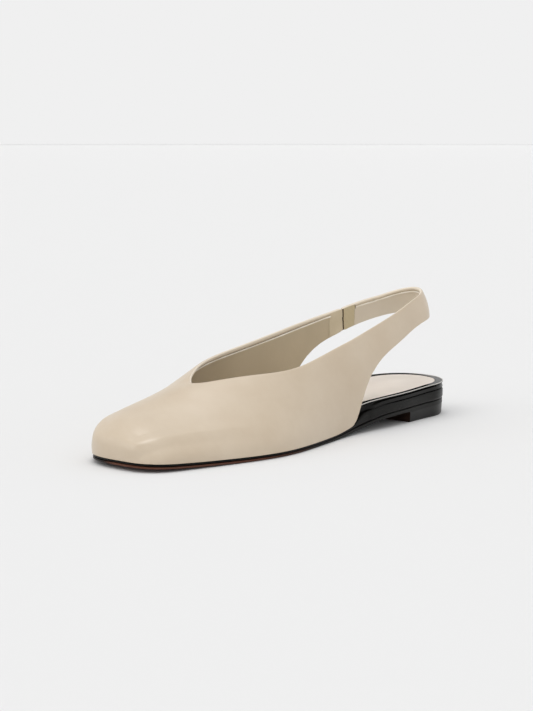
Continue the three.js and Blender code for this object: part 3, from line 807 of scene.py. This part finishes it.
black = Finish("black_edge", roughness=0.3, specular=0.12)
black.colour(black.shades(12, BLACK_DEEP, BLACK_LIGHT))
black.give("Roughness", black.shades(3, 0.26, 0.36))
black.relief((black.noise(4, detail=3), 0.03), (black.cells(0.7), 0.008))

midsole = cut_from("midsole", "midsole_edge", black)
for vert in midsole.data.vertices:
    edge = near_sock.find(vert.co)[0]
    if UNDER_WELT[0] < (edge.z - vert.co.z) / MM < UNDER_WELT[1]:
        vert.co.z -= WELT_LOWER * rise(vert.co.y, WELT_FROM, WELT_FULL)
crease_ridges(midsole)
refine(midsole)
finish(midsole, "sole_edge", "midsole")


# Outsole. Dark brown sole leather, its edge left brown in the forefoot, with painted shade at the
# toe's inner front, and dyed black from the waist to the heel.

BROWN_DEEP = linear(82, 50, 38)
BROWN_LIGHT = linear(102, 66, 52)
BROWN_SHADED = linear(24, 18, 15)
DYED_DEEP = linear(17, 17, 15)
DYED_LIGHT = linear(27, 26, 24)
DYED_FROM = -65 * MM
DYED_FULL = -15 * MM
# The painted shade on the brown edge starts and is full here, along the foot and across it
SHADED_ALONG = (-115 * MM, -120 * MM)
SHADED_ACROSS = (-1 * MM, -9 * MM)
# At the heel the lower edge is trimmed flush and meets the heel block without a groove: a vertex
# under another one that stands further out, by these lengths, moves out to right under it
HEEL_FROM = 72 * MM
EDGE_RISES = (0.25 * MM, 0.45 * MM)
EDGE_NEAR = 0.9 * MM
TRIMMED_BY = 0.27 * MM

sole_leather = Finish("sole_leather", roughness=0.4, specular=0.15)
brown = sole_leather.shades(7, BROWN_DEEP, BROWN_LIGHT, detail=4)
at_toe = sole_leather.rising("Y", *SHADED_ALONG)
at_inner = sole_leather.rising("X", *SHADED_ACROSS)
brown = sole_leather.mix(sole_leather.math("MULTIPLY", at_toe, at_inner), brown, BROWN_SHADED)
dyed = sole_leather.shades(12, DYED_DEEP, DYED_LIGHT)
sole_leather.colour(sole_leather.mix(sole_leather.rising("Y", DYED_FROM, DYED_FULL), brown, dyed))
sole_leather.relief((sole_leather.noise(2.5, detail=4), 0.03))

outsole = cut_from("outsole", "outsole_leather", sole_leather)
seat = [vert for vert in outsole.data.vertices if vert.co.y > HEEL_FROM]
for vert in seat:
    out = sock_out[near_sock.find(vert.co)[1]]
    for other in seat:
        step = other.co - vert.co
        above = EDGE_RISES[0] < step.z < EDGE_RISES[1]
        if above and step.dot(out) > 0 and step.length < EDGE_NEAR:
            vert.co = other.co - Vector((0, 0, step.z + TRIMMED_BY))
            break
crease_ridges(outsole)
refine(outsole)
finish(outsole, "outsole", "outsole")


# Heel. A low block with a rubber lift, fixed from above under the heel seat. It is painted black
# round its sides, and its front face is left a dark brown.

HEEL_BLACK_DEEP = linear(17, 17, 15)
HEEL_BLACK_LIGHT = linear(26, 25, 23)
HEEL_BROWN_DEEP = linear(36, 24, 18)
HEEL_BROWN_LIGHT = linear(48, 32, 25)
FRONT_FACES = -0.9

heel_paint = Finish("heel_paint", roughness=0.34, specular=0.22)
heel_black = heel_paint.shades(9, HEEL_BLACK_DEEP, HEEL_BLACK_LIGHT)
heel_brown = heel_paint.shades(5, HEEL_BROWN_DEEP, HEEL_BROWN_LIGHT)
on_front = heel_paint.math("LESS_THAN", heel_paint.facing("Y"), FRONT_FACES)
heel_paint.colour(heel_paint.mix(on_front, heel_black, heel_brown))
heel_paint.relief((heel_paint.noise(3, detail=3), 0.03))

heel = cut_from("heel", "heel_block", heel_paint)
crease_ridges(heel)
refine(heel)
finish(heel, "heel", "heel")


# Elastic. A short strip behind the slit in the inner side of the strap: a woven elastic towards
# the heel, and the leather facing that it is sewn to towards the toe, with a gap between. The gap
# and the strip's last stretch towards the heel are painted dark, as shade.

WEBBING_DEEP = linear(192, 177, 142)
WEBBING_LIGHT = linear(208, 193, 158)
FACING_DEEP = linear(206, 191, 161)
FACING_LIGHT = linear(214, 200, 172)
# The gap and the strip's last stretch are painted dark, as shade
STRIP_SHADE_DARK = linear(76, 62, 52)
STRIP_SHADE_LIGHT = linear(90, 74, 62)
WEBBING, FACING, GAP = range(3)
GAP_HALF = 0.27 * MM
GAP_DEEP = 0.5 * MM
STRIP_LONGER = 1.2 * MM
STRIP_PROUD = 0.12 * MM
# Its end towards the heel is shown shorter than the solid's, and its last stretch painted dark as
# shade
STRIP_TAIL = 9 * MM
STRIP_SHORTER = 2.1 * MM
STRIP_END = 9.5 * MM
# Vertices that face up or down the strap by this much make the strip longer
LOOKS_ALONG = 0.3
# Vertices further than this from the lining are laid on it
OFF_LINING = 0.5 * MM
# The cuts across the strip, and which vertices beside the gap sink into it
CUTS = (-2 * GAP_HALF, -GAP_HALF, GAP_HALF, 2 * GAP_HALF, STRIP_END)
ON_CUT = 1e-7
SINKS_WITHIN = 1.1 * GAP_HALF
LOOKS_IN = 0.2

webbing = Finish("webbing", roughness=0.75, sheen=0.15)
weave = webbing.texture("ShaderNodeTexWave", wave_type="BANDS", bands_direction="Y",
                        Scale=300, Distortion=1.5)["Fac"]
webbing.colour(webbing.ramp(weave, (0.2, WEBBING_DEEP), (0.8, WEBBING_LIGHT)))
webbing.relief((weave, 0.08), (webbing.noise(0.5), 0.05))
facing = Finish("facing", roughness=0.5)
facing.colour(facing.shades(8, FACING_DEEP, FACING_LIGHT))
facing.relief((facing.noise(1.2), 0.02), (facing.cells(0.6), 0.01))
painted_strip_shade = Finish("painted_strip_shade", roughness=0.9, specular=0.1)
painted_strip_shade.colour(painted_strip_shade.shades(1, STRIP_SHADE_DARK, STRIP_SHADE_LIGHT))

elastic = cut_from("elastic", "elastic_strip", webbing, facing, painted_strip_shade)
for vert in elastic.data.vertices:
    vert.co = slid(vert.co)
    if behind_slit(vert.co) > STRIP_TAIL:
        vert.co -= SLIT_ACROSS * STRIP_SHORTER
    upward = vert.normal.dot(SLIT_ALONG)
    if abs(upward) > LOOKS_ALONG:
        vert.co += SLIT_ALONG * math.copysign(STRIP_LONGER, upward)
crease_ridges(elastic, over=45)
refine(elastic, levels=1)
for vert in elastic.data.vertices:
    place, normal, _, away = inner_skin.find_nearest(vert.co)
    if away > OFF_LINING:
        vert.co = place + normal * STRIP_PROUD

strip = bmesh.new()
strip.from_mesh(elastic.data)
for away in CUTS:
    everything = strip.verts[:] + strip.edges[:] + strip.faces[:]
    bmesh.ops.bisect_plane(strip, geom=everything, dist=ON_CUT,
                           plane_co=SLIT_MIDDLE + SLIT_ACROSS * away, plane_no=SLIT_ACROSS)
strip.normal_update()
for face in strip.faces:
    away = behind_slit(face.calc_center_median())
    if abs(away) < 2 * GAP_HALF or away > STRIP_END:
        face.material_index = GAP
    else:
        face.material_index = WEBBING if away > 0 else FACING
sunk = [vert for vert in strip.verts
        if abs(behind_slit(vert.co)) < SINKS_WITHIN and vert.normal.x > LOOKS_IN]
for vert in sunk:
    vert.co -= vert.normal * GAP_DEEP
strip.to_mesh(elastic.data)
strip.free()
finish(elastic, "elastic", "elastic")


# Slit stitching. Pale thread sews the elastic and its facing to the strap, in three rows that
# show on the strap's outer side, one towards the toe and two behind the slit.

THREAD_DEEP = linear(196, 182, 160)
THREAD_LIGHT = linear(212, 200, 180)
THREAD_RADIUS = 0.19 * MM
# In mm: the rows' places behind the slit's middle, the stitches' length, the distance from one
# to the next and how far they keep off the strap's edges
STITCH_ROWS = (-7.0, 6.5, 8.5)
STITCH_LONG = 1.5
STITCH_EVERY = 2.3
STITCH_MARGIN = 1.3
STITCH_PARTS = 4
# The strap's edges are looked for so many tenths of a mm up and down from the slit's middle
STRAP_TENTHS = 110
STITCH_LIFT = 0.08 * MM
STITCH_DIP = 0.25 * MM
SIGHT = 60 * MM
STRAP_FACES = -0.5

outer_skin = skin_tree(upper, 0)


def on_strap_outside(across, up):
    """The place on the strap's outer skin, and None past its edges."""
    start = SLIT_MIDDLE + SLIT_ACROSS * across * MM + SLIT_ALONG * up * MM
    seen_from = Vector((-SIGHT, start.y, start.z))
    place, normal, _, _ = outer_skin.ray_cast(seen_from, Vector((1, 0, 0)), SIGHT)
    if place is None or normal.x > STRAP_FACES:
        return None
    return place + normal * STITCH_LIFT


stitches = []
for across in STITCH_ROWS:
    ups = [tenths / 10 for tenths in range(-STRAP_TENTHS, STRAP_TENTHS + 1)
           if on_strap_outside(across, tenths / 10) is not None]
    low, high = min(ups) + STITCH_MARGIN, max(ups) - STITCH_MARGIN
    count = int((high - low - STITCH_LONG) // STITCH_EVERY) + 1
    for number in range(count):
        first = low + number * STITCH_EVERY
        run = [on_strap_outside(across, first + STITCH_LONG * part / STITCH_PARTS)
               for part in range(STITCH_PARTS + 1)]
        for end in (run[0], run[-1]):
            end.x += STITCH_DIP
        stitches.append(run)
thread = Finish("thread", roughness=0.6, sheen=0.2)
thread.colour(thread.shades(0.6, THREAD_DEEP, THREAD_LIGHT))
thread.relief((thread.noise(0.3), 0.03))
stitching = tube("slit_stitching", stitches, THREAD_RADIUS, thread)
finish(stitching, "upper_leather")


# Studio. A wide pale floor inside a round pale screen, under an even sky, with one broad soft
# light from above and a weaker, wider one from the front.

WHITE = (1, 1, 1, 1)
BLACK = (0, 0, 0, 1)
PALE = 0.871
SKY = 0.72
FLOOR_SHADE = 0.76
FLOOR_SIZE = 60
SCREEN_RADIUS = 20
SCREEN_DEPTH = 8
SCREEN_MIDDLE = 3.9
# Each soft lamp: its name, where it shines from, its width in degrees, and its share of what the
# sky leaves
LAMPS = (
    ("overhead", (-0.05, 0.04, 1.0), 30, 0.73),
    ("front", (-0.45, -1.0, 0.5), 60, 0.27),
)

bpy.ops.mesh.primitive_plane_add(size=FLOOR_SIZE, location=(0, 0, 0))
floor = bpy.context.active_object
floor.name = "floor"
paper = Finish("paper", roughness=0.95, specular=0.0)
paper.set("Base Color", (FLOOR_SHADE, FLOOR_SHADE, FLOOR_SHADE, 1))
floor.data.materials.append(paper.material)
floor.select_set(False)

bpy.ops.mesh.primitive_cylinder_add(vertices=64, radius=SCREEN_RADIUS, depth=SCREEN_DEPTH,
                                    end_fill_type="NOTHING", location=(0, 0, SCREEN_MIDDLE))
screen = bpy.context.active_object
screen.name = "screen"
glow = Finish("glow", roughness=1.0, specular=0.0)
glow.set("Base Color", BLACK)
glow.set("Emission Color", WHITE)
glow.set("Emission Strength", PALE)
screen.data.materials.append(glow.material)
screen.select_set(False)

world = bpy.data.worlds.new("studio")
scene.world = world
world.use_nodes = True
sky = world.node_tree.nodes["Background"]
sky.inputs["Color"].default_value = WHITE
sky.inputs["Strength"].default_value = SKY

for name, shines_from, width, share in LAMPS:
    lamp = bpy.data.lights.new(name, "SUN")
    lamp.angle = math.radians(width)
    lamp.energy = math.pi * share * (PALE / FLOOR_SHADE - SKY) / Vector(shines_from).normalized().z
    light = bpy.data.objects.new(name, lamp)
    light.rotation_euler = Vector(shines_from).to_track_quat("Z", "Y").to_euler()
    scene.collection.objects.link(light)


# Camera. It stands low, in front of the outer side of the toe, where the photograph was taken
# from, and is turned a little so that the one shoe stands in the middle.

FOCAL_PIXELS = 1705.6
FRAME_HEIGHT_PIXELS = 711
CAMERA_PLACE = (0.58505, -0.67377, 0.16004)
LOOKS_DOWN = 7.506
LOOKS_ROUND = 41.64

lens = bpy.data.cameras.new("camera")
lens.sensor_fit = "VERTICAL"
lens.sensor_height = 36
lens.lens = FOCAL_PIXELS * lens.sensor_height / FRAME_HEIGHT_PIXELS
lens.clip_start = 0.05
lens.clip_end = 100
camera = bpy.data.objects.new("camera", lens)
camera.location = CAMERA_PLACE
camera.rotation_euler = (math.radians(90 - LOOKS_DOWN), 0, math.radians(LOOKS_ROUND))
scene.collection.objects.link(camera)
scene.camera = camera
scene.view_settings.view_transform = "Standard"
